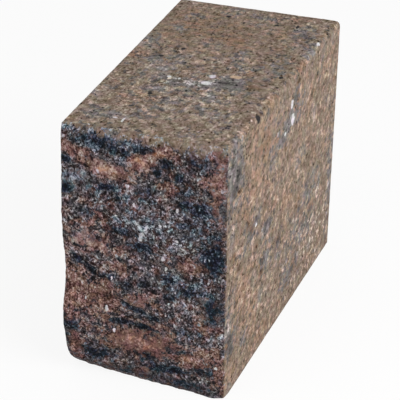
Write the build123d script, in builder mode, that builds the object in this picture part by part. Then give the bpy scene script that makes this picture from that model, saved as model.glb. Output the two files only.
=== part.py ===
from build123d import *
from math import cos, exp, pi
import os

# Wall end block: one piece of cast concrete, broken open at its front.
# Millimetres, +Z up. The origin is the middle of the bottom bed.
# -Y is the split front that shows in the wall, +Y runs back into the wall, and +X is the flared side.

# Plan and height. The left side is square to the front, and the right side flares towards the back.
front_width = 89.0
depth = 178.0
right_flare = 10.0
height = 152.0

# Rounding of the pressed arris between the top and the flared side. The other cast arrises are sharp.
pressed_arris = 3.5

# Swells of the broken face. Each row gives the place across the face from its left edge and the place up
# from the bed, then the half width and half height, all as shares of the face. Last comes how far the
# swell stands proud of the split line in millimetres, where a minus makes a hollow.
swells = [
    (0.00, 0.25, 0.30, 0.130, 8.2),
    (0.00, 0.095, 0.30, 0.065, 3.7),
    (0.00, 0.66, 0.34, 0.220, 4.1),
    (0.40, 0.40, 0.20, 0.085, 3.0),
    (0.60, 0.66, 0.20, 0.090, 2.4),
    (0.80, 0.28, 0.18, 0.075, 2.2),
    (0.82, 0.84, 0.16, 0.070, 1.5),
    (0.50, 0.18, 0.22, 0.055, 2.0),
    (0.18, 0.56, 0.16, 0.055, 1.6),
    (0.48, 0.73, 0.15, 0.055, 1.6),
    (0.42, 0.89, 0.14, 0.055, 1.4),
    (0.86, 0.12, 0.14, 0.060, 1.2),
    (0.94, 0.00, 0.08, 0.055, 1.4),
    (0.22, 0.82, 0.18, 0.060, -1.8),
    (0.32, 0.63, 0.13, 0.050, -2.2),
    (0.50, 0.57, 0.11, 0.050, -1.8),
    (0.18, 0.47, 0.15, 0.050, -2.0),
    (0.72, 0.45, 0.17, 0.060, -2.6),
    (0.92, 0.58, 0.12, 0.075, -1.8),
    (0.80, 0.70, 0.14, 0.060, -1.6),
    (0.64, 0.86, 0.13, 0.055, -1.5),
    (0.45, 0.25, 0.18, 0.050, -2.4),
    (0.20, 0.11, 0.14, 0.050, -1.8),
    (0.62, 0.08, 0.16, 0.045, -1.4),
]

# The broken face falls back towards its own arrises. Each fall is how far it drops at the arris, and each
# reach is the distance over which the drop dies away. The bottom arris is spalled, most at the left.
top_fall = 3.0
top_reach = 2.5
side_fall = 0.8
side_reach = 2.0
spall_fall_left = 9.1
spall_fall_right = 1.9
spall_reach_left = 7.9
spall_reach_right = 3.5

# The broken face is drawn through this many stations, which lie closer together near its arrises,
# and it is drawn on past the block so that it cuts it clean through.
station_count_across = 22
station_count_up = 30
overrun = 8.0

front = -depth / 2
back = depth / 2
left = -front_width / 2
right = front_width / 2
flare_per_mm = right_flare / depth

# The block is cast front to front with another one and split from it, so the stock runs on in front.
stock_ahead = depth


def stations(length, count):
    """Distances along a face, closer together near its ends, with one beyond each end."""
    inside = [length * (1 - cos(pi * step / count)) / 2 for step in range(count + 1)]
    return [-overrun] + inside + [length + overrun]


def proud_of_split_line(across, up):
    """How far the broken face stands out at a place given from its left edge and from the bed."""
    across = min(max(across, 0.0), front_width)
    up = min(max(up, 0.0), height)
    proud = 0.0
    for across_share, up_share, half_width, half_height, swell in swells:
        off_across = (across / front_width - across_share) / half_width
        off_up = (up / height - up_share) / half_height
        proud += swell * exp(-(off_across**2) - off_up**2)
    leftness = (1 - across / front_width) ** 2
    spall_fall = spall_fall_right + (spall_fall_left - spall_fall_right) * leftness
    spall_reach = spall_reach_right + (spall_reach_left - spall_reach_right) * leftness
    proud -= spall_fall * exp(-up / spall_reach)
    proud -= top_fall * exp(-(height - up) / top_reach)
    proud -= side_fall * exp(-across / side_reach)
    proud -= side_fall * exp(-(front_width - across) / side_reach)
    return proud


def broken_line(up):
    """One level line along the broken face, at a height above the bed."""
    places = stations(front_width, station_count_across)
    return [(left + across, front - proud_of_split_line(across, up), up) for across in places]


broken_lines = [broken_line(up) for up in stations(height, station_count_up)]
broken_face = Face.make_surface_from_array_of_points(broken_lines)

with BuildPart() as wall_end_block:
    with BuildSketch() as plan:
        with BuildLine():
            Polyline(
                (left, back),
                (left, front - stock_ahead),
                (right - flare_per_mm * stock_ahead, front - stock_ahead),
                (right + right_flare, back),
                close=True,
            )
        make_face()
    extrude(amount=height)

    top_edges = wall_end_block.faces().sort_by(Axis.Z)[-1].edges()
    right_top = top_edges.sort_by(Axis.X)[-1]
    fillet(right_top, radius=pressed_arris)

    split(bisect_by=broken_face, keep=Keep.TOP)

wall_end_block.part.label = "wall_end_block"

os.makedirs("parts", exist_ok=True)
export_step(wall_end_block.part, "parts/wall_end_block.step")
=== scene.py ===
from math import cos, exp, hypot, radians, sin

import bpy
from mathutils import Matrix, Vector, noise
from mathutils.bvhtree import BVHTree


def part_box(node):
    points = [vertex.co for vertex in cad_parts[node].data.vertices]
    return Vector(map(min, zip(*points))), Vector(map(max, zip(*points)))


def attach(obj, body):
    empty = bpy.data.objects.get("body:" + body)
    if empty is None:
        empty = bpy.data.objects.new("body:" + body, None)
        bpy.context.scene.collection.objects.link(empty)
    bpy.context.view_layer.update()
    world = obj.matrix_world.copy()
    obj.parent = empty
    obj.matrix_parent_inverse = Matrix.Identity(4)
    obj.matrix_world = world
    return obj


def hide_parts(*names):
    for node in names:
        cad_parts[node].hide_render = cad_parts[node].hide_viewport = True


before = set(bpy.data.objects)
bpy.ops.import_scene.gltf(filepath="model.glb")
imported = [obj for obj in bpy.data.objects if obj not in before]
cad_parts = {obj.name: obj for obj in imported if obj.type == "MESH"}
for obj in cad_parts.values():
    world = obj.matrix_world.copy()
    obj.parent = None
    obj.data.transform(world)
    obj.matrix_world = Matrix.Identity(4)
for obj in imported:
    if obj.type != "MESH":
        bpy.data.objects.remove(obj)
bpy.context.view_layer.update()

# The block's own sizes, in metres, read from the frame. The origin is the middle of the bed, half the front
# width across and half the depth back from the split line.
low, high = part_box("wall_end_block")
square_side = low.x
front_width = -2 * low.x
right_flare = high.x + low.x
split_line = -high.y
back = high.y
depth = back - split_line
bed = low.z
crown = high.z
height = crown - bed
flared_out = Vector((depth, -right_flare, 0)).normalized()
flared_corner = Vector((high.x, back, 0))

mm = 0.001

# A place that is nearer to the split line than this lies on the front.
touching = 0.01 * mm


def width_at(y):
    """How wide the block is at a place along its depth."""
    return front_width + right_flare * (y - split_line) / depth


def bare_selection(piece):
    """Deselects everything and makes the piece the only chosen object."""
    bpy.ops.object.select_all(action="DESELECT")
    piece.select_set(True)
    bpy.context.view_layer.objects.active = piece


def choose(piece, kind, wanted):
    """In edit mode, selects only the vertices, edges or faces that wanted() says yes to."""
    bpy.ops.mesh.select_all(action="DESELECT")
    bpy.ops.object.mode_set(mode="OBJECT")
    bpy.context.tool_settings.mesh_select_mode = (kind == "vertices", kind == "edges", kind == "polygons")
    for item in getattr(piece.data, kind):
        item.select = wanted(item)
    bpy.ops.object.mode_set(mode="EDIT")


# Strips of small faces run along every arris, at these distances from it, so that it can be worn round.
arris_strips = (0.4 * mm, 1.0 * mm, 2.0 * mm, 3.5 * mm)

# The edges that are still long are then cut this many times, so that the relief has small faces to work on.
long_edge = 6 * mm
cuts_across = 160
cuts_deep = 100
cuts_up_each_half = 140

# An edge runs along an axis when more than this share of its length does.
nearly_all = 0.9


def long_edge_along(piece, axis):
    """A test for the long edges of a piece that run along an axis: 0 is across, 1 is back and 2 is up."""
    corners = piece.data.vertices

    def is_long_and_along(edge):
        run = corners[edge.vertices[1]].co - corners[edge.vertices[0]].co
        return run.length > long_edge and abs(run[axis]) > nearly_all * run.length

    return is_long_and_along


def cast_box():
    """The moulded box, flared on its right side and cut into small faces for the relief."""
    bpy.ops.object.select_all(action="DESELECT")
    middle = ((low.x + high.x) / 2, 0, (bed + crown) / 2)
    bpy.ops.mesh.primitive_cube_add(size=1, location=middle, scale=(high.x - low.x, depth, height))
    block = bpy.context.object
    block.name = "cast_block"
    bpy.ops.object.transform_apply(location=True, rotation=True, scale=True)
    bpy.ops.object.mode_set(mode="EDIT")

    choose(block, "vertices", lambda v: v.co.x > 0 and v.co.y < 0)
    bpy.ops.transform.translate(value=(-right_flare, 0, 0))

    cuts = []
    for strip in arris_strips:
        cuts += [(Vector((square_side + strip, 0, 0)), Vector((1, 0, 0)))]
        cuts += [(flared_corner - flared_out * strip, flared_out)]
        cuts += [(Vector((0, split_line + strip, 0)), Vector((0, 1, 0)))]
        cuts += [(Vector((0, back - strip, 0)), Vector((0, 1, 0)))]
        cuts += [(Vector((0, 0, bed + strip)), Vector((0, 0, 1)))]
        cuts += [(Vector((0, 0, crown - strip)), Vector((0, 0, 1)))]
    cuts += [(Vector((0, 0, (bed + crown) / 2)), Vector((0, 0, 1)))]
    for place, across_cut in cuts:
        bpy.ops.mesh.select_all(action="SELECT")
        bpy.ops.mesh.bisect(plane_co=place, plane_no=across_cut)

    for axis, count in ((0, cuts_across), (1, cuts_deep), (2, cuts_up_each_half)):
        choose(block, "edges", long_edge_along(block, axis))
        bpy.ops.mesh.subdivide(number_cuts=count)
    bpy.ops.object.mode_set(mode="OBJECT")
    return block


def group_vertices(piece, name, weight_at):
    """Puts the vertices in a named group, with the weight that weight_at() gives each one's place."""
    group = piece.vertex_groups.new(name=name)
    for vertex in piece.data.vertices:
        weight = weight_at(vertex.co)
        if weight > 0:
            group.add([vertex.index], weight, "REPLACE")


# Towards its left and bottom arrises the broken face grows calmer, over this reach and down to this weight.
calm_reach = 7 * mm
calm_weight = 0.35


def broken_weight(place):
    """How rough a place on the broken face is, and 0 off that face."""
    if place.y > split_line + touching:
        return 0.0
    to_left = place.x - square_side
    to_bed = place.z - bed
    out = min(min(to_left, to_bed) / calm_reach, 1.0)
    return calm_weight + (1 - calm_weight) * out


beside_break_reach = 4 * mm


def beside_break_weight(place):
    """How near the break a place on the moulded skin is: 1 beside it, and 0 from its reach on."""
    into = place.y - split_line
    return max(1 - into / beside_break_reach, 0.0) if into > touching else 0.0


def moulded_weight(place):
    """1 on the moulded skin, and 0 on the broken face."""
    return float(place.y > split_line + touching)


# The front's bottom corner on the flared side has worn. The loss is greatest at the corner and fades out
# at this reach.
worn_corner = 8 * mm
corner_loss = 1.3 * mm
corner_fade = 1.5
corner_worn_towards = Vector((-0.5, 1, 1)).normalized()


def wear_corner(block):
    """Wears off the front's bottom corner on the flared side."""
    corner = Vector((square_side + front_width, split_line, bed))
    for vertex in block.data.vertices:
        nearness = 1 - (vertex.co - corner).length / worn_corner
        if nearness > 0:
            vertex.co += corner_worn_towards * corner_loss * nearness**corner_fade


# The broken face is measured from this far in front of it, and this far inside the edges of the front.
measured_from = 10 * mm
measured_inside = 0.15 * mm

# At the pressed arris the CAD block has no corner to measure, so there it is measured this far in from it.
pressed_corner = 3.8 * mm

# The front's top left corner is sharper than the CAD block's. Along this much of the top arris the face is
# measured lower down, by this much at the corner itself.
sharp_corner = 10 * mm
sharp_corner_drop = 1.3 * mm


def lay_on_broken_face(block, pattern):
    """Draws each row out or in along the depth, so that the front lies on the pattern's broken face."""
    tree = BVHTree.FromObject(pattern, bpy.context.evaluated_depsgraph_get())
    furthest_right = square_side + front_width
    found = {}
    for vertex in block.data.vertices:
        x, y, z = vertex.co
        across = square_side + (x - square_side) * front_width / width_at(y)
        across = min(max(across, square_side + measured_inside), furthest_right - measured_inside)
        up = min(max(z, bed + measured_inside), crown - measured_inside)
        from_left = across - square_side
        up = min(up, crown - sharp_corner_drop * max(1 - from_left / sharp_corner, 0.0))
        if up > crown - pressed_corner:
            across = min(across, furthest_right - pressed_corner)
        key = (round(across, 6), round(up, 6))
        if key not in found:
            start = Vector((across, low.y - measured_from, up))
            found[key] = tree.ray_cast(start, Vector((0, 1, 0)))[0].y
        vertex.co.y = back + (y - back) * (back - found[key]) / depth


# How far each kind of arris is rounded, and by what share of that its rounding comes and goes.
pressed_arris = 3.5 * mm
pressed_unevenness = 0.12
worn_arris = 0.6 * mm
hardly_worn_arris = worn_arris / 2
worn_unevenness = 0.7

# The rounding comes and goes over this length. The noise is then given by how fast its finer forms fade,
# how much finer each is than the last, and how many there are.
wear_length = 5 * mm
wear_noise = (0.8, 2.1, 4)

# The arrises between moulded faces: the two sides that meet there, the rounding and its unevenness.
arrises = [
    ("top", "flared", pressed_arris, pressed_unevenness),
    ("top", "square", hardly_worn_arris, worn_unevenness),
    ("top", "back", hardly_worn_arris, worn_unevenness),
    ("back", "square", worn_arris, worn_unevenness),
    ("back", "flared", hardly_worn_arris, worn_unevenness),
    ("bottom", "square", worn_arris, worn_unevenness),
    ("bottom", "flared", hardly_worn_arris, worn_unevenness),
    ("bottom", "back", worn_arris, worn_unevenness),
]


def round_arrises(block):
    """Pulls the square arrises in to a round: the pressed one evenly, and the others as they have worn."""
    sides = {
        "top": (Vector((0, 0, crown)), Vector((0, 0, 1))),
        "bottom": (Vector((0, 0, bed)), Vector((0, 0, -1))),
        "square": (Vector((square_side, 0, 0)), Vector((-1, 0, 0))),
        "flared": (flared_corner, flared_out),
        "back": (Vector((0, back, 0)), Vector((0, 1, 0))),
    }
    for one, other, size, unevenness in arrises:
        place_one, out_one = sides[one]
        place_other, out_other = sides[other]
        widest = 2 * size
        for vertex in block.data.vertices:
            depth_one = (place_one - vertex.co).dot(out_one)
            depth_other = (place_other - vertex.co).dot(out_other)
            if max(depth_one, depth_other) > widest:
                continue
            radius = size * (1 + unevenness * noise.fractal(vertex.co / wear_length, *wear_noise))
            if max(depth_one, depth_other) >= radius:
                continue
            reach = hypot(radius - depth_one, radius - depth_other)
            if reach > radius:
                pull = 1 - radius / reach
                vertex.co -= out_one * (radius - depth_one) * pull
                vertex.co -= out_other * (radius - depth_other) * pull


# Layers of relief. Each row is a name, a kind of texture and the size of its forms, how far the texture
# pushes the surface, the value of it that leaves the surface where it is, the group of vertices that it
# works on, and the texture's other settings.
relief_layers = [
    ("ledges", "MUSGRAVE", 9 * mm, 0.8 * mm, 0.55, "broken", {"musgrave_type": "RIDGED_MULTIFRACTAL"}),
    ("breaks", "CLOUDS", 5 * mm, 1.2 * mm, 0.55, "broken", {"noise_depth": 4, "noise_type": "HARD_NOISE"}),
    ("stones", "VORONOI", 3.2 * mm, -0.9 * mm, 0.35, "broken", {}),
    ("grit", "CLOUDS", 1.5 * mm, 0.6 * mm, 0.5, "broken", {"noise_depth": 2}),
    ("unevenness", "CLOUDS", 5 * mm, 0.25 * mm, 0.65, "moulded", {"noise_depth": 3}),
]


def roughen(block):
    """Pushes the surface in and out by each layer of relief, and makes it part of the mesh."""
    for name, kind, size, push, level, group, settings in relief_layers:
        texture = bpy.data.textures.new(name, kind)
        texture.noise_scale = size
        for setting, value in settings.items():
            setattr(texture, setting, value)
        layer = block.modifiers.new(name, "DISPLACE")
        layer.texture = texture
        layer.texture_coords = "LOCAL"
        layer.direction = "NORMAL"
        layer.strength = push
        layer.mid_level = level
        layer.vertex_group = group
        bpy.ops.object.modifier_apply(modifier=name)


most_triangles = 196000


def thin_out(block):
    """Takes faces away where the surface is nearly flat, so that the fine ones stay on the broken face."""
    triangles = sum(len(polygon.vertices) - 2 for polygon in block.data.polygons)
    thinner = block.modifiers.new("thinner", "DECIMATE")
    thinner.ratio = most_triangles / triangles
    bpy.ops.object.modifier_apply(modifier="thinner")


def hold_in_cad_box(block):
    """Brings back what the relief and the thinning have taken out past the CAD block's box."""
    for vertex in block.data.vertices:
        for axis in range(3):
            vertex.co[axis] = min(max(vertex.co[axis], low[axis]), high[axis])


def make_block():
    """The whole block: moulded box, broken front, worn arrises and relief."""
    block = cast_box()
    group_vertices(block, "broken", broken_weight)
    group_vertices(block, "moulded", moulded_weight)
    group_vertices(block, "beside break", beside_break_weight)
    wear_corner(block)
    lay_on_broken_face(block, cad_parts["wall_end_block"])
    round_arrises(block)
    bare_selection(block)
    roughen(block)
    thin_out(block)
    hold_in_cad_box(block)
    for polygon in block.data.polygons:
        polygon.use_smooth = True
    return block


# Patches of colour, put on as dabs. Each dab is a place on a face, its half width and half height, all in
# millimetres, its lean in degrees anticlockwise, and its strength. On the front a place is measured from
# the left edge and up from the bed.
# Some dark dabs on the front are painted shade, as noted below; the rest are dark pigment.
front_dark = [
    (23, 145, 16, 4.5, 0, 0.5),
    (57, 139, 4, 2.5, 0, 0.4),
    (74, 143, 8, 6.0, 0, 0.45),
    (52, 133, 3, 4.0, 0, 0.7),
    (64, 132, 3, 4.0, 0, 0.7),
    (3, 133, 3, 2.5, 0, 0.7),
    (3, 117, 3, 3.0, 0, 0.9),
    (66, 124, 5, 7.0, 0, 0.55),
    (75, 116, 7, 5.0, 0, 0.8),
    (68, 106, 6, 4.0, 0, 0.6),
    (24, 120, 6, 3.0, 0, 0.6),
    (46, 120, 5, 4.0, 0, 0.6),
    (15, 103, 5, 3.0, 0, 0.4),
    (32, 95, 9, 3.2, 0, 0.8),
    (43, 88, 8, 4.2, 0, 0.6),
    (80.5, 90, 6, 12.0, 0, 0.8),
    (58, 70, 4, 4.0, 0, 0.7),
    (68, 66, 10, 5.0, 0, 0.5),
    (83, 57, 5, 10.0, 0, 0.55),
    # Painted shade, with dark pigment: these three dabs lie below the ledge at about 38 mm up and below the
    # bulge low on the left.
    (38, 38, 12, 3.0, -4, 0.5),
    (3, 35, 4, 4.5, 0, 0.4),
    (16, 16, 10, 6.5, 0, 0.62),
    (2, 19, 5, 11.0, 0, 1.0),
    (70, 41, 9, 6.0, 0, 0.45),
    (30, 112, 16, 8.0, 0, 0.3),
    (54, 13, 14, 3.2, 0, 0.7),
    (77, 17, 7, 4.0, 0, 0.6),
    (66, 27, 5, 2.0, 0, 0.7),
    # Painted shade, with dark pigment: these two dabs darken the foot of the front, which faces down.
    (67, 5, 12, 3.0, 0, 0.8),
    (40, 4.5, 46, 4.5, 0, 0.5),
]
front_rust = [
    (25, 131, 11, 4.0, -10, 1.7),
    (29, 130, 3.0, 1.8, -25, 1.9),
    (44, 137, 6.5, 4.5, 20, 1.42),
    (41, 139, 3.5, 2.0, 20, 1.9),
    (55, 145, 6, 2.5, 10, 1.1),
    (53, 144, 3.5, 1.8, 10, 2.1),
    (8, 139, 9, 3.0, -10, 1.1),
    (57, 127, 8, 3.0, 0, 0.6),
    (85, 133, 5, 15.0, 0, 0.85),
    (21, 105, 3, 2.5, 0, 0.7),
    (15, 97, 7, 3.5, 0, 0.7),
    (15, 88, 15, 6.5, 0, 0.7),
    (70, 81, 11, 4.0, 0, 0.85),
    (5, 53, 7, 14.0, 0, 1.1),
    (20, 53, 12, 10.0, 0, 1.0),
    (31, 74, 5, 4.0, 0, 0.7),
    (42, 56, 9, 5.0, 0, 0.8),
    (40, 38, 15, 3.0, 0, 0.5),
    (4, 20, 4, 10.0, 0, 1.1),
    (42, 28, 18, 6.5, 0, 1.3),
    (69, 23, 10, 4.0, 0, 1.15),
    (58, 34, 5, 4.0, 0, 0.8),
    (79, 29, 8, 4.0, 0, 0.9),
    (75, 46, 6, 3.0, 0, 0.6),
    (86, 20, 4, 10.0, 0, 0.8),
    (45, 5, 45, 4.0, 0, 0.3),
    (77, 16, 8, 4.0, 0, 0.3),
]
# Some pale dabs on the front are painted light, on high spots and faces that turn up; the rest are pale stone
# and pale mix.
front_pale = [
    (43.2, 95, 1.1, 4.5, -24, 1.4),
    (43, 101.5, 1.0, 3.4, 38, 1.4),
    (46.5, 101, 1.0, 2.6, -20, 1.2),
    (51, 102, 5, 1.8, 8, 0.7),
    (32, 104, 5, 1.8, -15, 0.7),
    (64, 98, 3, 3.0, 0, 0.8),
    # Painted light, with some pale mix: this dab lightens a place where the broken face turns up.
    (9, 125, 9, 5.0, 0, 0.6),
    (12, 89, 11, 7.0, 0, 0.66),
    (72, 40, 5, 3.0, 0, 0.3),
    (66, 67, 8, 5.0, 0, 0.4),
    (14, 76, 3, 1.5, -35, 0.7),
    (15, 144, 3, 2.0, 0, 0.6),
    (25, 132.5, 11, 4.5, -10, 0.84),
    (44, 136, 6, 4.0, 0, 0.85),
    (42, 28, 16, 6.0, 0, 0.18),
    (86, 132, 4, 16.0, 0, 0.35),
    (29, 144, 2.5, 1.6, 0, 0.6),
    (50, 92, 4, 2.0, 0, 0.4),
]
front_grey = [
    (9, 124, 10, 6.0, 0, 0.4),
    (48, 103, 12, 6.0, 0, 0.9),
    (71, 106, 10, 10.0, 0, 0.6),
    (68, 67, 14, 8.0, 0, 0.7),
    (38, 116, 14, 9.0, 0, 0.3),
    (60, 92, 8, 6.0, 0, 0.4),
    (24, 145, 18, 5.0, 0, 0.8),
    (34, 137, 3.5, 3.0, 0, 0.8),
    (43, 56, 8, 4.0, 0, 0.6),
]
# In even patches the grains differ less.
front_even = [
    (86, 130, 5, 22, 0, 1.0),
    (9, 124, 10, 7, 0, 0.8),
    (44, 28, 17, 6.5, 0, 1.2),
    (43, 56, 9, 5, 0, 0.5),
    (25, 132, 12, 5, -10, 1.1),
    (44, 136, 7, 5, 0, 0.8),
    (13, 89, 12, 7, 0, 0.8),
    (83, 55, 6, 9, 0, 0.8),
    (16, 16, 8, 6, 0, 0.5),
    (46, 4.5, 45, 4.5, 0, 1.0),
]
# Marks are small, nearly black patches with clear edges. Some on the front are painted shadows, as noted
# below; the rest are dark pigment.
front_marks_and_shadows = [
    (20, 146, 13, 2.4, 0, 0.65),
    (29, 142.8, 9, 2.2, -10, 0.8),
    (45, 145, 5.5, 1.9, 0, 1.1),
    (57, 139, 3.5, 2.4, 0, 1.1),
    (73, 142, 6, 3.5, 0, 0.5),
    (52, 133, 2.0, 1.8, 0, 1.0),
    (2, 133, 3, 1.8, 0, 0.9),
    (2.5, 117, 3, 2.2, 0, 0.8),
    (24, 120, 4, 2.0, 0, 0.9),
    (66, 118, 4, 3.0, 0, 0.7),
    (43, 88, 7, 2.6, 0, 0.6),
    (31, 95, 4, 2.2, 0, 0.4),
    (82.5, 87, 5, 9.0, 0, 0.75),
    # Painted shadow, with dark pigment: the crescent of dabs that follows is shade below a bulge.
    (8, 74.5, 5, 1.5, -42, 1.1),
    (14, 69.5, 5, 1.7, -35, 1.15),
    (20, 66.7, 5, 1.5, -5, 1.15),
    (26, 67.3, 3.5, 1.2, 5, 1.2),
    (35, 64.3, 4.5, 2.0, -5, 1.4),
    (45, 66.7, 4.0, 2.4, -10, 1.2),
    (67, 64, 5, 2.0, 0, 0.9),
    (58, 60, 3, 2.0, 0, 1.0),
    (24.7, 55.8, 3.2, 1.4, 0, 1.3),
    (36.5, 50.8, 4.5, 1.5, -30, 1.4),
    (41.5, 48.4, 3.5, 1.3, -22, 1.2),
    (49, 44.5, 4.0, 1.6, 0, 1.0),
    # Painted shadow, with dark pigment: the next three dabs are shade below the ledge at about 38 mm up and
    # below the bulge low on the left.
    (30.3, 39.4, 5.0, 1.6, -3, 1.4),
    (44.5, 37.3, 7, 1.2, -4, 1.3),
    (3.5, 35.3, 5, 3.2, -10, 1.2),
    (83.3, 56.5, 4.5, 9.0, 0, 0.42),
    # Painted shadow, with dark pigment: the next dab is shade below the bulge low on the left.
    (15, 17, 8, 3.6, -14, 0.6),
    (45.3, 19.2, 4.0, 2.6, 0, 1.4),
    (51, 12, 8, 2.2, -8, 0.7),
    (63, 13, 5, 2.0, 0, 0.8),
    (77, 17.5, 6, 2.8, 0, 0.62),
]
# On the top a place is measured from the left edge and back from the split line.
top_grey = [
    (48, 55, 55, 45, 0, 0.36),
    (44, 68, 22, 6, 0, 1.1),
    (66, 75, 8, 8, 0, 1.3),
    (62, 58, 12, 10, 0, 0.5),
    (8, 62, 8, 7, 0, 0.5),
    (15, 16, 7, 9, 0, 0.7),
    (10, 5, 9, 4, 0, 0.6),
    (93, 12, 3, 12, 8, 0.9),
    (3, 116, 7, 8, 0, 0.7),
    (16, 93, 8, 5, 0, 0.9),
    (36, 91, 8, 5, 0, 0.6),
    (66, 96, 8, 6, 0, 0.7),
    (60, 109, 5, 9, 0, 0.6),
    (80, 113, 9, 14, 0, 0.5),
    (85, 100, 7, 22, 0, 0.6),
    (84, 152, 8, 11, 0, 0.8),
    (94, 134, 3, 10, 0, 0.8),
    (57, 168, 12, 5, 0, 0.7),
    (40, 168, 8, 6, 0, 0.6),
    (18, 155, 8, 5, 0, 0.6),
    (15, 135, 5, 5, 0, 0.6),
]
top_rust = [
    (4, 95, 4, 6, 0, 0.9),
    (94, 27, 4, 11, 0, 1.0),
    (96, 110, 3, 14, 0, 0.8),
    (93, 62, 4, 12, 0, 0.7),
    (15, 166, 6, 5, 0, 0.8),
    (68, 145, 6, 6, 0, 0.7),
    (25, 45, 11, 6, 0, 0.5),
    (75, 171, 6, 4, 0, 0.8),
    (38, 112, 8, 8, 0, 0.4),
    (80, 135, 5, 5, 0, 0.5),
    (30, 140, 34, 24, 0, 0.5),
    (50, 130, 14, 10, 0, 0.6),
]
top_pale = [
    (43, 67, 12, 6, 0, 0.28),
    (42, 20, 50, 24, 0, 0.26),
    (93.5, 26, 3, 16, 0, 0.8),
]
top_dark = [
    (36, 138, 46, 26, 0, 0.32),
    (42, 16, 50, 24, 0, 0.26),
    (64, 74, 5, 3.5, 0, 0.75),
    (76, 73, 9, 2.5, 0, 0.65),
    (16, 94, 5, 3.5, 0, 0.5),
    (4, 120, 4, 4, 0, 0.5),
    (86, 147, 5, 8, 0, 0.5),
    (85, 105, 6, 24, 0, 0.34),
    (12, 32, 4, 3, 0, 0.5),
]
# On the flared side a place is measured back from the split line and up from the bed.
side_grey = [
    (12, 132, 11, 19, 0, 1.0),
    (6, 118, 6, 5, 0, 0.7),
    (86, 123, 22, 7, 18, 0.9),
    (104, 133, 8, 12, 0, 0.8),
    (60, 56, 10, 9, 0, 0.8),
    (82, 54, 7, 8, 0, 0.6),
    (38, 86, 13, 9, 0, 0.7),
    (61, 78, 9, 6, 0, 0.8),
    (114, 95, 9, 6, 0, 0.5),
    (138, 62, 18, 11, 0, 0.65),
    (125, 41, 22, 10, 0, 0.65),
    (174, 45, 6, 40, 0, 0.7),
    (101, 24, 14, 9, 0, 0.75),
    (8, 33, 10, 8, 0, 0.8),
    (5, 56, 5, 9, 0, 0.7),
    (25, 22, 7, 7, 0, 0.6),
]
side_rust = [
    (89, 90, 120, 90, 0, 0.3),
    (42, 113, 12, 9, 0, 0.8),
    (28, 104, 8, 8, 0, 0.6),
    (40, 140, 9, 8, 0, 0.6),
    (60, 132, 22, 16, 0, 0.6),
    (14, 82, 14, 20, 0, 0.4),
    (28, 55, 14, 13, 0, 0.8),
    (42, 33, 10, 18, 0, 0.7),
    (56, 9, 14, 7, 0, 0.8),
    (9, 12, 9, 8, 0, 0.8),
    (72, 86, 9, 3.5, 0, 0.8),
    (95, 77, 10, 6, 0, 0.8),
    (108, 138, 3.5, 4, 0, 1.0),
    (113, 138, 2.5, 4, 0, 0.8),
    (131, 125, 12, 6, 0, 0.6),
    (155, 133, 14, 12, 0, 0.6),
    (150, 12, 18, 8, 0, 0.6),
]
side_pale = [
    (74, 127, 2.0, 1.8, 0, 0.9),
    (92, 33, 2.5, 3.0, 0, 0.6),
    (5, 44, 6, 3, 0, 0.6),
    (14, 117, 5, 2, 0, 0.6),
    (152, 57, 3, 4, 0, 0.5),
    (150, 26, 28, 16, 0, 0.3),
    (6, 138, 6, 8, 0, 0.4),
]
side_dark = [
    (12, 132, 9, 18, 0, 0.48),
    (8, 141, 3.5, 4, 0, 0.8),
    (16, 131, 4, 5, 0, 0.9),
    (12, 124, 4, 3, 0, 0.9),
    (18, 120, 4, 3, 0, 0.8),
    (14, 30, 10, 20, 0, 0.28),
    (60, 130, 26, 14, 0, 0.3),
    (5, 117, 6, 4.5, 0, 0.6),
    (16, 122, 6, 4, 0, 0.5),
    (8, 36, 4, 3.5, 0, 0.85),
    (4, 32, 3, 3, 0, 0.8),
    (10, 28, 4, 3, 0, 0.85),
    (55, 58, 4, 3, 0, 0.8),
    (60, 79, 3.5, 3, 0, 0.7),
    (32, 94, 3, 3, 0, 0.7),
    (20, 74, 3, 2.5, 0, 0.8),
    (12, 84, 2.5, 3, 0, 0.7),
    (42, 62, 3, 2.5, 0, 0.7),
    (58, 92, 3, 3, 0, 0.6),
    (81, 57, 4, 3.5, 0, 0.7),
    (54, 51, 3, 2, 0, 0.8),
    (37, 87, 4, 4, 0, 0.6),
    (83, 37, 3, 2.5, 0, 0.6),
    (107, 22, 5, 3, 0, 0.7),
    (98, 17, 4, 2.5, 0, 0.6),
    (104, 134, 4, 12, 0, 0.5),
    (138, 47, 6, 4, 0, 0.5),
    (16, 98, 3, 4, 0, 0.5),
    (70, 66, 4, 3, 0, 0.6),
    (46, 72, 3, 3, 0, 0.6),
    (106, 145, 4, 2, 0, 0.5),
    (110, 62, 3, 2.5, 0, 0.6),
    (120, 16, 3, 3, 0, 0.6),
]
side_marks = [
    (106, 145, 3, 2, 0, 0.7),
    (77, 40, 3.5, 1.5, 0, 0.4),
]

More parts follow.
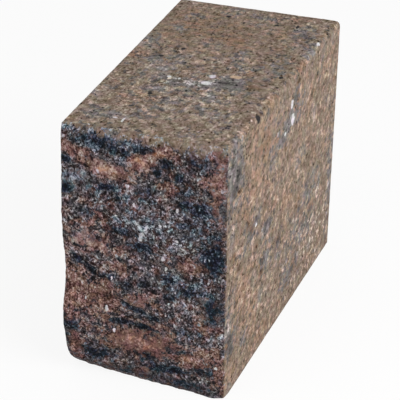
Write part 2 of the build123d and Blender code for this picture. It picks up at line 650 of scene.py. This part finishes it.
# Single stones that stand out from the mix. Each row is the middle of a stone and then its half sizes, all in
# millimetres: across from the left edge, back from the split line and up from the bed.
white_stones = [
    (54.8, -3, 83.3, 1.0, 12, 1.1),
    (56.3, -3, 76.8, 0.8, 12, 1.4),
    (23.8, -3, 47.8, 0.8, 12, 1.9),
    (27.3, -3, 33.3, 0.5, 12, 1.4),
    (61.8, -3, 43.8, 0.7, 12, 1.2),
    (84.8, -3, 20.8, 0.9, 12, 1.0),
    (26.8, -3, 66.8, 0.45, 12, 1.0),
    (79.8, -3, 73.3, 0.6, 12, 1.1),
    (12.3, -3, 52.3, 0.5, 12, 1.1),
    (19.8, -3, 128.3, 0.7, 12, 1.5),
    (35.8, -3, 122.8, 0.9, 12, 1.2),
    (40.3, -3, 113.8, 0.7, 12, 1.3),
    (62.8, -3, 113.8, 0.6, 12, 1.4),
    (42.8, -3, 92.8, 1.0, 12, 1.2),
    (44.5, -3, 97.0, 0.8, 12, 1.0),
    (29.8, -3, 104.8, 0.9, 12, 0.6),
    (62.8, -3, 96.3, 1.0, 12, 0.8),
    (53.6, 79.8, 152, 1.9, 2.2, 4),
    (53.3, 70.8, 152, 2.8, 2.3, 4),
    (31.8, 71.8, 152, 1.2, 1.2, 4),
    (37.8, 71.5, 152, 0.7, 1.0, 4),
    (23.3, 16.3, 152, 1.3, 0.8, 4),
    (28.2, 15.0, 152, 0.7, 2.2, 4),
    (13.8, 4.8, 152, 0.8, 0.7, 4),
    (95.3, 142.3, 152, 0.8, 2.0, 4),
    (94.4, 95.8, 134.8, 4, 2.0, 2.6),
    (94.5, 97.8, 124.8, 4, 2.8, 3.5),
    (93.8, 86.3, 121.3, 4, 1.3, 1.2),
    (91.5, 44.0, 87.0, 4, 1.5, 1.1),
]
# Painted shade, with dark stones: several black stones on the top are the dark of small pores and pits, where
# shade falls in them.
black_stones_and_pit_shade = [
    (35.3, 161.8, 152, 1.6, 1.6, 4),
    (65.8, 158.8, 152, 1.2, 1.4, 4),
    (47.0, 155.8, 152, 0.9, 1.2, 4),
    (77.8, 160.8, 152, 0.9, 2.4, 4),
    (26.3, 108.8, 152, 1.3, 1.5, 4),
    (29.8, 48.8, 152, 1.5, 1.6, 4),
    (91.1, 43.6, 150, 1.9, 2.4, 2.5),
    (80.8, 26.8, 152, 1.7, 0.9, 4),
    (59.8, 73.6, 152, 1.3, 1.0, 4),
    (17.8, 95.8, 152, 1.6, 1.2, 4),
    (88.8, 91.3, 152, 1.2, 1.8, 4),
]
tan_stones = [
    (65.8, 83.3, 152, 3.2, 2.0, 4),
    (95.2, 109.3, 138.3, 4, 1.6, 2.8),
]

# A dab fades from its middle at this rate, and ends at this many times its longer half size.
dab_fade = 0.7
dab_end = 1.5


def dab_strength(dabs, across, up):
    """How strongly the dabs of one colour cover a place on a face."""
    strongest = 0.0
    for place_across, place_up, half_width, half_height, lean, strength in dabs:
        off_across = across - place_across
        off_up = up - place_up
        if max(abs(off_across), abs(off_up)) > max(half_width, half_height) * dab_end:
            continue
        turned_across = off_across * cos(radians(lean)) + off_up * sin(radians(lean))
        turned_up = off_up * cos(radians(lean)) - off_across * sin(radians(lean))
        out = (turned_across / half_width) ** 2 + (turned_up / half_height) ** 2
        strongest = max(strongest, strength * exp(-dab_fade * out))
    return strongest


# A vertex takes the dabs of a face that it is nearer to than this many millimetres.
face_band = 3

# The square side is patched like the flared one, turned end for end. The back is patched like the part of
# the flared side that begins this many millimetres from the split line.
back_like_side_from = 30


def paint(block, name, front_dabs, top_dabs, side_dabs):
    """Paints the dabs of one colour on the faces of the block, as a strength at each vertex."""
    layer = block.data.attributes.new(name, "FLOAT", "POINT")
    for vertex in block.data.vertices:
        x, y, z = (part / mm for part in vertex.co)
        across = x - square_side / mm
        into = y - split_line / mm
        up = z - bed / mm
        below_top = height / mm - up
        out_of_side = (flared_corner - vertex.co).dot(flared_out) / mm
        strength = 0.0
        if into < face_band:
            strength = dab_strength(front_dabs, across, up)
        if below_top < face_band:
            strength = max(strength, dab_strength(top_dabs, across, into))
        if out_of_side < face_band:
            strength = max(strength, dab_strength(side_dabs, into, up))
        if min(into, below_top) > face_band:
            if across < face_band:
                strength = max(strength, dab_strength(side_dabs, depth / mm - into, up))
            if depth / mm - into < face_band:
                strength = max(strength, dab_strength(side_dabs, back_like_side_from + across, up))
        layer.data[vertex.index].value = strength


# The moulded skin laps down over the broken face this far below the top, but only this share of it at the
# left, from where it grows over this length.
skin_over_arris = 3.2 * mm
skin_at_left = 0.25
skin_grows_over = 32 * mm

# The edge of the skin wanders by this share, over this length. The noise is given as for the wear.
skin_wander = 0.45
wander_length = 9 * mm
wander_noise = (0.8, 2.1, 3)

# A vertex of the broken face is marked by how far it is below the skin, but beside the flared side it is
# marked with less.
mark_per_mm = 0.7
mark_at_side = 0.3
mark_per_mm_from_side = 1.5

# The moulded skin is marked with less than nothing: this beside the break, and lower by this away from it.
mark_beside_break = -0.5
mark_drop = 3.5


def paint_broken(block):
    """Marks how deep inside the broken concrete each vertex is. The skin ends where the mark is about 0."""
    layer = block.data.attributes.new("broken in", "FLOAT", "POINT")
    broken = block.vertex_groups["broken"].index
    beside_break = block.vertex_groups["beside break"].index
    for vertex in block.data.vertices:
        weights = {group.group: group.weight for group in vertex.groups}
        if broken not in weights:
            away_from_break = 1 - weights.get(beside_break, 0.0)
            layer.data[vertex.index].value = mark_beside_break - mark_drop * away_from_break
            continue
        wander = skin_wander * noise.fractal(Vector((vertex.co.x / wander_length, 0, 0)), *wander_noise)
        share = min((vertex.co.x - square_side) / skin_grows_over, 1.0)
        skin = skin_over_arris * (skin_at_left + (1 - skin_at_left) * share) * (1 + wander)
        below_skin = (crown - skin - vertex.co.z) / mm
        from_side = (flared_corner - vertex.co).dot(flared_out) / mm
        mark = min(mark_per_mm * below_skin, mark_at_side + mark_per_mm_from_side * from_side)
        layer.data[vertex.index].value = mark


# A vertex is on the flared side when its normal points straight out of that side by more than this share.
faces_out = 0.8


def paint_flared_side(block):
    """Marks the flared side, and how calm it is: its grains differ less and less towards the back."""
    on_side = block.data.attributes.new("flared side", "FLOAT", "POINT")
    calm = block.data.attributes.new("calm", "FLOAT", "POINT")
    for vertex in block.data.vertices:
        if vertex.normal.dot(flared_out) > faces_out:
            on_side.data[vertex.index].value = 1.0
            calm.data[vertex.index].value = (vertex.co.y - split_line) / depth


# Pigments of the mix inside, as red, green and blue from 0 to 255, at each of its tones from dark to pale.
mix_tones = (0.0, 0.30, 0.60, 1.0)
rust_red = ((28, 8, 7), (72, 44, 41), (134, 99, 97), (206, 187, 186))
rust_brown = ((25, 11, 3), (71, 47, 35), (133, 104, 90), (206, 189, 180))
plain_grey = ((7, 6, 9), (52, 49, 53), (112, 108, 113), (217, 215, 222))
navy_blue = ((4, 4, 16), (34, 37, 59), (95, 99, 119), (203, 204, 219))
navy_green = ((1, 7, 13), (25, 42, 53), (86, 103, 113), (193, 206, 214))
dull_stain = ((26, 13, 11), (80, 53, 46), (146, 110, 100), (216, 190, 180))
bright_stain = ((38, 13, 6), (94, 52, 36), (156, 102, 76), (216, 180, 158))

# Pigments of the moulded skin in the same way.
skin_tones = (0.0, 0.25, 0.5, 0.75, 1.0)
skin_tan = ((42, 26, 8), (80, 63, 48), (125, 108, 94), (162, 147, 134), (222, 209, 199))
skin_orange = ((52, 26, 5), (91, 63, 42), (137, 109, 89), (172, 146, 127), (230, 211, 195))
skin_grey = ((20, 20, 21), (62, 58, 57), (109, 103, 101), (150, 145, 144), (217, 213, 212))

# Single stones with their darkest and palest colours.
stone_tones = (0.0, 1.0)
stones_by_colour = [
    (white_stones, ((120, 114, 118), (242, 238, 242))),
    # The black stones are partly painted shade in small pores.
    (black_stones_and_pit_shade, ((8, 8, 12), (58, 54, 54))),
    (tan_stones, ((122, 98, 80), (212, 182, 158))),
]

# The concrete is tinted a little pink in some places and a little green in others.
pink_tint = (1.06, 0.96, 1.06, 1)
green_tint = (0.94, 1.04, 0.94, 1)

# The press draws the grains out a little along the depth.
grain_stretch = (1.12, 0.78, 0.93)

# A spot rises from nothing to its full strength over this share of its cell.
spot_edge = 0.12

bump_height = 0.5 * mm


def linear(red, green, blue):
    """A colour on the sRGB scale, 0 to 255, as the light that it sends back."""
    parts = []
    for part in (red, green, blue):
        share = part / 255
        parts.append(share / 12.92 if share <= 0.04045 else ((share + 0.055) / 1.055) ** 2.4)
    return (*parts, 1.0)


class Recipe:
    """A material's nodes, with short ways to add more of them."""

    def __init__(self, name):
        self.material = bpy.data.materials.new(name)
        self.material.use_nodes = True
        self.tree = self.material.node_tree
        self.surface = self.tree.nodes["Principled BSDF"]

    def add(self, kind, inputs, **settings):
        """Adds a node with its settings, and sets each input or joins it to another node's output."""
        node = self.tree.nodes.new("ShaderNode" + kind)
        for setting, value in settings.items():
            setattr(node, setting, value)
        for socket, value in inputs.items():
            if isinstance(value, bpy.types.NodeSocket):
                self.tree.links.new(value, node.inputs[socket])
            else:
                node.inputs[socket].default_value = value
        return node

    def millimetres(self):
        """Places on the block in millimetres."""
        place = self.add("TexCoord", {}).outputs["Object"]
        return self.add("Mapping", {"Vector": place, "Scale": (1 / mm, 1 / mm, 1 / mm)}).outputs["Vector"]

    def painted(self, name):
        """A value painted on the block's vertices."""
        return self.add("Attribute", {}, attribute_name=name).outputs["Fac"]

    def sum(self, *parts):
        """Adds values up. Each part is a value, or a value and how much of it goes in."""
        total = None
        for part in parts:
            value, amount = part if isinstance(part, tuple) else (part, 1)
            inputs = {0: value, 1: amount, 2: 0.0 if total is None else total}
            total = self.add("Math", inputs, operation="MULTIPLY_ADD").outputs[0]
        return total

    def product(self, one, other):
        """Multiplies two values."""
        return self.add("Math", {0: one, 1: other}, operation="MULTIPLY").outputs[0]

    def step(self, value, start, end):
        """Rises softly from 0 to 1 while a value goes from start to end."""
        inputs = {"Value": value, "From Min": start, "From Max": end}
        return self.add("MapRange", inputs, interpolation_type="SMOOTHSTEP").outputs["Result"]

    def cloud(self, place, size, detail=2.0, roughness=0.5):
        """Soft noise about zero, with forms of about the given size in millimetres."""
        inputs = {"Vector": place, "Scale": 1 / size, "Detail": detail, "Roughness": roughness}
        return self.sum((self.add("TexNoise", inputs).outputs["Fac"], 2), -1.0)

    def crooked(self, place, size, reach):
        """Places pushed about by noise, so that a pattern read at them has crooked edges."""
        push = self.add("TexNoise", {"Vector": place, "Scale": 1 / size, "Detail": 2.0}).outputs["Color"]
        centred = self.add("VectorMath", {0: push, 1: (0.5, 0.5, 0.5)}, operation="SUBTRACT").outputs[0]
        scaled = self.add("VectorMath", {0: centred, "Scale": 2 * reach}, operation="SCALE").outputs[0]
        return self.add("VectorMath", {0: place, 1: scaled}, operation="ADD").outputs[0]

    def grains(self, place, size):
        """Packed grains: a tone about zero, a chance from 0 to 1 and the way from the middle of each."""
        cells = self.add("TexVoronoi", {"Vector": place, "Scale": 1 / size})
        chances = self.add("SeparateColor", {"Color": cells.outputs["Color"]})
        tone = self.sum((chances.outputs["Red"], 2), -1.0)
        return tone, chances.outputs["Green"], cells.outputs["Distance"]

    def spots(self, place, size, share, widest):
        """Round spots, 1 inside and 0 outside. A share of the cells of a size has one, up to a width."""
        _, chance, distance = self.grains(place, size)
        inputs = {"Value": chance, "From Min": 1 - share, "From Max": 1.0, "To Max": widest / 2 / size}
        reach = self.add("MapRange", inputs).outputs["Result"]
        inside = self.sum(reach, (distance, -1))
        return self.step(inside, 0.0, spot_edge)

    def stones(self, place, rows):
        """Stones placed one by one: 1 in the middle of a stone, 0 at its edge and less outside."""
        nearest = None
        for across, into, up, half_width, half_depth, half_height in rows:
            half_sizes = (half_width, half_depth, half_height)
            middle = (across + square_side / mm, into + split_line / mm, up + bed / mm)
            inputs = {
                "Vector": place,
                "Location": [-part / half for part, half in zip(middle, half_sizes)],
                "Scale": [1 / half for half in half_sizes],
            }
            away = self.add("Mapping", inputs).outputs["Vector"]
            out = self.add("VectorMath", {0: away}, operation="LENGTH").outputs["Value"]
            if nearest is not None:
                out = self.add("Math", {0: nearest, 1: out}, operation="MINIMUM").outputs[0]
            nearest = out
        return self.sum(1.0, (nearest, -1))

    def ramp(self, tone, stops, colours):
        """The colour of a tone, where each stop from 0 to 1 has a colour."""
        node = self.add("ValToRGB", {"Fac": tone})
        band = node.color_ramp
        while len(band.elements) < len(stops):
            band.elements.new(1.0)
        for element, stop, colour in zip(band.elements, stops, colours):
            element.position = stop
            element.color = linear(*colour)
        return node.outputs["Color"]

    def mix(self, share, one, other):
        """Mixes two colours: all of the first at a share of 0, and all of the second at 1."""
        return self.add("Mix", {0: share, 6: one, 7: other}, data_type="RGBA").outputs[2]


class Concrete(Recipe):
    """Pigmented concrete: a tan moulded skin, and the dark, rust and pale mix inside where it is broken."""

    def __init__(self, name):
        super().__init__(name)
        self.place = self.millimetres()
        self.set_grains()
        self.set_patches()

    def set_grains(self):
        """Grains of several sizes, and clouds and spots among them, that the skin and the mix share."""
        grain_place = self.add("Mapping", {"Vector": self.place, "Scale": grain_stretch}).outputs["Vector"]
        self.crooked_place = self.crooked(grain_place, 2.5, 1.2)
        self.sand, _, self.sand_middle = self.grains(self.crooked(grain_place, 0.8, 0.3), 0.9)
        self.grit, self.grit_chance, self.grit_middle = self.grains(self.crooked_place, 2.2)
        self.clump, self.clump_chance, _ = self.grains(self.crooked(self.place, 2.0, 1.8), 3.2)
        self.fine = self.cloud(grain_place, 0.7, 2.0, 0.6)
        self.speckle = self.cloud(grain_place, 1.6, 2.0, 0.6)
        self.blotch = self.cloud(self.place, 4.0, 2.0, 0.6)
        self.drift = self.cloud(self.place, 13.0, 2.0)
        self.hue = self.cloud(self.place, 6.0, 2.0, 0.45)
        # The pits darken the tone of the mix and of the skin, as painted shade in them, besides denting the
        # bump.
        self.pits = self.spots(self.crooked_place, 2.0, 0.40, 1.8)
        self.flecks = self.spots(self.crooked_place, 2.2, 0.45, 1.6)
        self.skin_pits = self.spots(self.crooked_place, 2.0, 0.55, 1.7)
        self.skin_flecks = self.spots(self.crooked_place, 2.8, 0.32, 1.5)
        self.ragged = self.sum(
            (self.sand, 0.10), (self.grit, 0.20), (self.clump, 0.30), (self.speckle, 0.35),
            (self.blotch, 0.70),
        )

    def patch(self, name, spread=1.0):
        """A painted patch with ragged edges, broken up grain by grain."""
        return self.step(self.sum(self.painted(name), (self.ragged, spread)), 0.25, 0.75)

    def set_patches(self):
        """The patches of each colour, and what becomes of them where they are strong or overlap."""
        # On the front the dark patches are partly painted shade.
        self.dark = self.patch("dark", 0.75)
        self.rust = self.patch("rust")
        self.pale = self.patch("pale")
        self.grey = self.patch("grey")
        self.even = self.patch("even", 0.4)
        # This patch is partly painted shadows on the broken face.
        self.mark = self.patch("marks_and_shadows", 0.5)
        self.muddy = self.product(self.dark, self.rust)
        self.stain = self.step(self.sum(self.painted("rust"), (self.ragged, 0.6)), 0.9, 1.6)
        self.bare_stone = self.step(self.sum(self.painted("pale"), (self.ragged, 0.2)), 0.7, 1.0)

    def broken(self):
        """1 where the mix inside shows and 0 on the skin, which ends grain by grain."""
        grain_edge = self.sum(
            (self.sand, 0.9), (self.grit, 1.2), (self.clump, 1.2), (self.speckle, 1.2), (self.blotch, 1.6)
        )
        return self.step(self.sum(self.painted("broken in"), grain_edge), -0.5, 0.5)

    def mix_tone(self):
        """Tone of the mix, from black at 0 to the palest stone at 1. Rusty and even parts are calmer."""
        # The pits darken the mix: painted shade in them.
        coarse_grains = self.sum(
            (self.grit, 0.17), (self.speckle, 0.34), (self.flecks, 0.29), (self.pits, -0.20)
        )
        fine_grains = self.sum((self.sand, 0.26), (self.fine, 0.42), (self.pits, -0.20))
        life = self.sum(1.05, (self.dark, 0.25), (self.bare_stone, -0.4))
        coarse_life = self.sum(life, (self.rust, -0.55), (self.muddy, -0.3), (self.even, -0.6))
        fine_life = self.sum(life, (self.rust, -0.2), (self.muddy, -0.2), (self.even, -0.4))
        broad = self.sum((self.blotch, 0.21), (self.drift, 0.11), (self.clump, 0.07))
        chips = self.spots(self.place, 5.0, 0.35, 2.2)
        return self.sum(
            0.41, self.product(coarse_grains, coarse_life), self.product(fine_grains, fine_life),
            self.product(broad, self.sum(1.0, (self.even, -0.5))),
            (self.dark, -0.20), (self.mark, -0.23), (self.rust, 0.07), (self.stain, 0.13), (self.pale, 0.16),
            (self.bare_stone, 0.36), (chips, 0.11),
        )

    def mix_colour(self):
        """The mix inside: grey, with rust and navy grains, and rust stains where the rust is strongest."""
        tone = self.mix_tone()
        tinge = self.cloud(self.place, 3.0, 1.0, 0.4)
        rusty = self.sum(
            -0.20, (self.hue, 0.9), (tinge, 0.8), (self.clump, 0.55), (self.drift, 0.5), (self.rust, 1.5),
            (self.dark, -0.9), (self.pale, -0.9), (self.grey, -0.9), (self.mark, -1.0),
            (self.bare_stone, -1.0),
        )
        bluish = self.sum(
            -0.25, (self.dark, 1.12), (self.clump_chance, 0.6), (self.rust, -0.45), (self.hue, -0.5),
            (tinge, -0.35), (self.blotch, 0.2), (self.grey, 0.40), (self.pale, 0.15), (self.muddy, -0.5),
            (self.mark, 0.6),
        )
        greenish = self.step(self.cloud(self.place, 4.0, 2.0, 0.6), -0.4, 0.4)
        bright = self.step(self.clump_chance, 0.4, 0.8)
        red, brown, grey, blue, green, dull, orange = (
            self.ramp(tone, mix_tones, pigment)
            for pigment in (rust_red, rust_brown, plain_grey, navy_blue, navy_green, dull_stain, bright_stain)
        )
        colour = self.mix(self.step(rusty, -0.9, 0.9), grey, self.mix(greenish, red, brown))
        colour = self.mix(self.step(bluish, 0.2, 1.0), colour, self.mix(greenish, blue, green))
        return self.mix(self.stain, colour, self.mix(bright, dull, orange))

    def skin_tone(self):
        """Tone of the skin. On the brightly lit flared side painted shade dulls the light grains, and all are
        calmer further back.
        """
        # The skin's pits darken it: painted shade in them.
        grains = self.sum(
            (self.sand, 0.10), (self.grit, 0.10), (self.fine, 0.13), (self.speckle, 0.33),
            (self.skin_flecks, 0.06), (self.skin_pits, -0.43),
        )
        # Painted shade: on the flared side the light grains are dulled, against the stronger light there.
        light_grains = self.add("Math", {0: grains, 1: 0.0}, operation="MAXIMUM").outputs[0]
        grains = self.sum(grains, (self.product(light_grains, self.painted("flared side")), -0.3))
        calm = self.painted("calm")
        return self.sum(
            0.535, self.product(grains, self.sum(1.0, (calm, -0.3))), (calm, 0.03), (self.clump, 0.06),
            (self.blotch, 0.28), (self.drift, 0.10), (self.dark, -0.26), (self.pale, 0.24), (self.rust, 0.02),
            (self.mark, -0.30),
        )

    def skin_colour(self):
        """The moulded skin: tan, more orange where it is rusty, and grey in patches."""
        tone = self.skin_tone()
        mottle = self.sum(-0.45, (self.grit_chance, 0.35), (self.clump_chance, 0.55))
        dull = self.step(self.sum(self.painted("grey"), (self.ragged, -0.55), mottle), 0.25, 0.75)
        warmth = self.sum(-0.1, (self.hue, 1.4), (self.clump, 0.2), self.rust, (dull, -0.8))
        greyness = self.sum(-0.10, dull, (self.drift, 1.1), (self.blotch, -0.3), (self.clump_chance, 0.15))
        tan, orange, grey = (
            self.ramp(tone, skin_tones, pigment) for pigment in (skin_tan, skin_orange, skin_grey)
        )
        colour = self.mix(self.step(warmth, 0.0, 1.0), tan, orange)
        return self.mix(self.step(greyness, 0.05, 0.95), colour, grey)

    def with_stones(self, colour):
        """The colour with the single stones in it, which lie in the skin and in the broken face alike."""
        stone_place = self.crooked(self.crooked(self.place, 2.5, 0.5), 0.8, 0.35)
        stone_tone = self.sum(0.6, (self.fine, 0.45), (self.speckle, 0.45))
        for rows, colours in stones_by_colour:
            stone = self.ramp(stone_tone, stone_tones, colours)
            inside_stone = self.sum(self.stones(stone_place, rows), (self.fine, 0.25), (self.speckle, 0.35))
            colour = self.mix(self.step(inside_stone, -0.25, 0.25), colour, stone)
        return colour

    def tinted(self, colour):
        """The colour with its pink and green tints."""
        mossy = self.step(self.cloud(self.place, 4.5, 2.0, 0.5), -0.6, 0.6)
        tint = self.mix(mossy, pink_tint, green_tint)
        return self.add("VectorMath", {0: colour, 1: tint}, operation="MULTIPLY").outputs[0]

    def bumps(self, broken):
        """Pits and grains too fine for the mesh: rough where the block is broken, and slight on the skin."""
        rough = self.sum(
            (self.sand_middle, -0.6), (self.grit_middle, -0.6), (self.fine, 0.5), (self.speckle, 0.6),
            (self.pits, -0.9), (self.flecks, 0.3),
        )
        smooth = self.sum(
            (self.sand_middle, -0.05), (self.fine, 0.05), (self.speckle, 0.15), (self.skin_pits, -0.5),
            (self.skin_flecks, 0.1),
        )
        return self.sum(self.product(rough, broken), smooth, (self.product(smooth, broken), -1))


def make_concrete():
    """The block's one material."""
    concrete = Concrete("pigmented concrete")
    broken = concrete.broken()
    colour = concrete.mix(broken, concrete.skin_colour(), concrete.mix_colour())
    colour = concrete.tinted(concrete.with_stones(colour))
    bump = concrete.add("Bump", {"Height": concrete.bumps(broken), "Distance": bump_height, "Strength": 1.0})
    concrete.tree.links.new(colour, concrete.surface.inputs["Base Color"])
    concrete.tree.links.new(bump.outputs["Normal"], concrete.surface.inputs["Normal"])
    concrete.surface.inputs["Roughness"].default_value = 0.92
    concrete.surface.inputs["Specular IOR Level"].default_value = 0.2
    return concrete.material


block = make_block()
paint(block, "dark", front_dark, top_dark, side_dark)
paint(block, "rust", front_rust, top_rust, side_rust)
paint(block, "pale", front_pale, top_pale, side_pale)
paint(block, "grey", front_grey, top_grey, side_grey)
paint(block, "even", front_even, [], [])
paint(block, "marks_and_shadows", front_marks_and_shadows, [], side_marks)
paint_broken(block)
paint_flared_side(block)
block.data.materials.append(make_concrete())
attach(block, "root")
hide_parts("wall_end_block")


# The camera looks at the block from the right of its front and from above, with a long lens. It stands this
# distance away from the middle of the front's foot, and this far to the right and up from there, in metres.
view_azimuth = radians(19.32)
view_elevation = radians(29.92)
view_roll = radians(0.44)
view_distance = 0.781
view_right = 0.0296
view_up = 0.101
frame_pixels = 400
focal_pixels = 1426.5
film_width = 36


def set_camera():
    """Puts the camera where the photograph was taken from."""
    away = Vector(
        (
            sin(view_azimuth) * cos(view_elevation),
            -cos(view_azimuth) * cos(view_elevation),
            sin(view_elevation),
        )
    )
    level_right = away.cross(Vector((0, 0, -1))).normalized()
    level_up = level_right.cross(-away)
    across = level_right * cos(view_roll) + level_up * sin(view_roll)
    upward = level_up * cos(view_roll) - level_right * sin(view_roll)
    lens = bpy.data.cameras.new("camera")
    lens.sensor_width = film_width
    lens.lens = focal_pixels / frame_pixels * film_width
    camera = bpy.data.objects.new("camera", lens)
    bpy.context.scene.collection.objects.link(camera)
    place = Vector((0, split_line, 0)) + away * view_distance + across * view_right + upward * view_up
    turn = Matrix((across, upward, away)).transposed().to_4x4()
    camera.matrix_world = Matrix.Translation(place) @ turn
    bpy.context.scene.camera = camera


floor_width = 6
floor_grey = (0.9, 0.9, 0.9, 1)

# To the camera, and in gloss and glass, this share of the floor is plain white. The rest of it keeps the
# block's shadow.
floor_glow = 0.88


def lay_floor():
    """A plain floor that shows nearly white, without more light on the block."""
    bpy.ops.object.select_all(action="DESELECT")
    bpy.ops.mesh.primitive_plane_add(size=floor_width, location=(0, 0, 0))
    floor = bpy.context.object
    floor.name = "floor"
    white = Recipe("white floor")
    white.surface.inputs["Base Color"].default_value = floor_grey
    white.surface.inputs["Roughness"].default_value = 1
    path = white.add("LightPath", {}).outputs
    seen = path["Is Camera Ray"]
    for ray in ("Is Glossy Ray", "Is Transmission Ray"):
        seen = white.add("Math", {0: seen, 1: path[ray]}, operation="MAXIMUM").outputs[0]
    share = white.product(seen, floor_glow)
    glow = white.add("Emission", {}).outputs[0]
    shown = white.add("MixShader", {0: share, 1: white.surface.outputs[0], 2: glow}).outputs[0]
    white.tree.links.new(shown, white.tree.nodes["Material Output"].inputs["Surface"])
    floor.data.materials.append(white.material)


# Soft studio light: an even surround, a large lamp to the right and a weaker one at the front left. Each
# lamp is a name, a place and a width in metres, and a power in watts.
surround_strength = 0.53
lamps = [
    ("key lamp", (0.9, -0.35, 0.75), 0.7, 9.7),
    ("fill lamp", (-0.7, -1.1, 0.8), 1.0, 4.0),
]


def set_lights():
    """Sets the surround, and points each lamp at the middle of the block."""
    world = bpy.data.worlds.new("studio")
    bpy.context.scene.world = world
    world.use_nodes = True
    surround = world.node_tree.nodes["Background"]
    surround.inputs["Color"].default_value = (1, 1, 1, 1)
    surround.inputs["Strength"].default_value = surround_strength
    for name, place, width, power in lamps:
        lamp = bpy.data.lights.new(name, "AREA")
        lamp.shape = "SQUARE"
        lamp.size = width
        lamp.energy = power
        holder = bpy.data.objects.new(name, lamp)
        bpy.context.scene.collection.objects.link(holder)
        holder.location = place
        toward = Vector((0, 0, height / 2)) - Vector(place)
        holder.rotation_euler = toward.to_track_quat("-Z", "Y").to_euler()


set_camera()
lay_floor()
set_lights()
bpy.context.scene.view_settings.view_transform = "Standard"
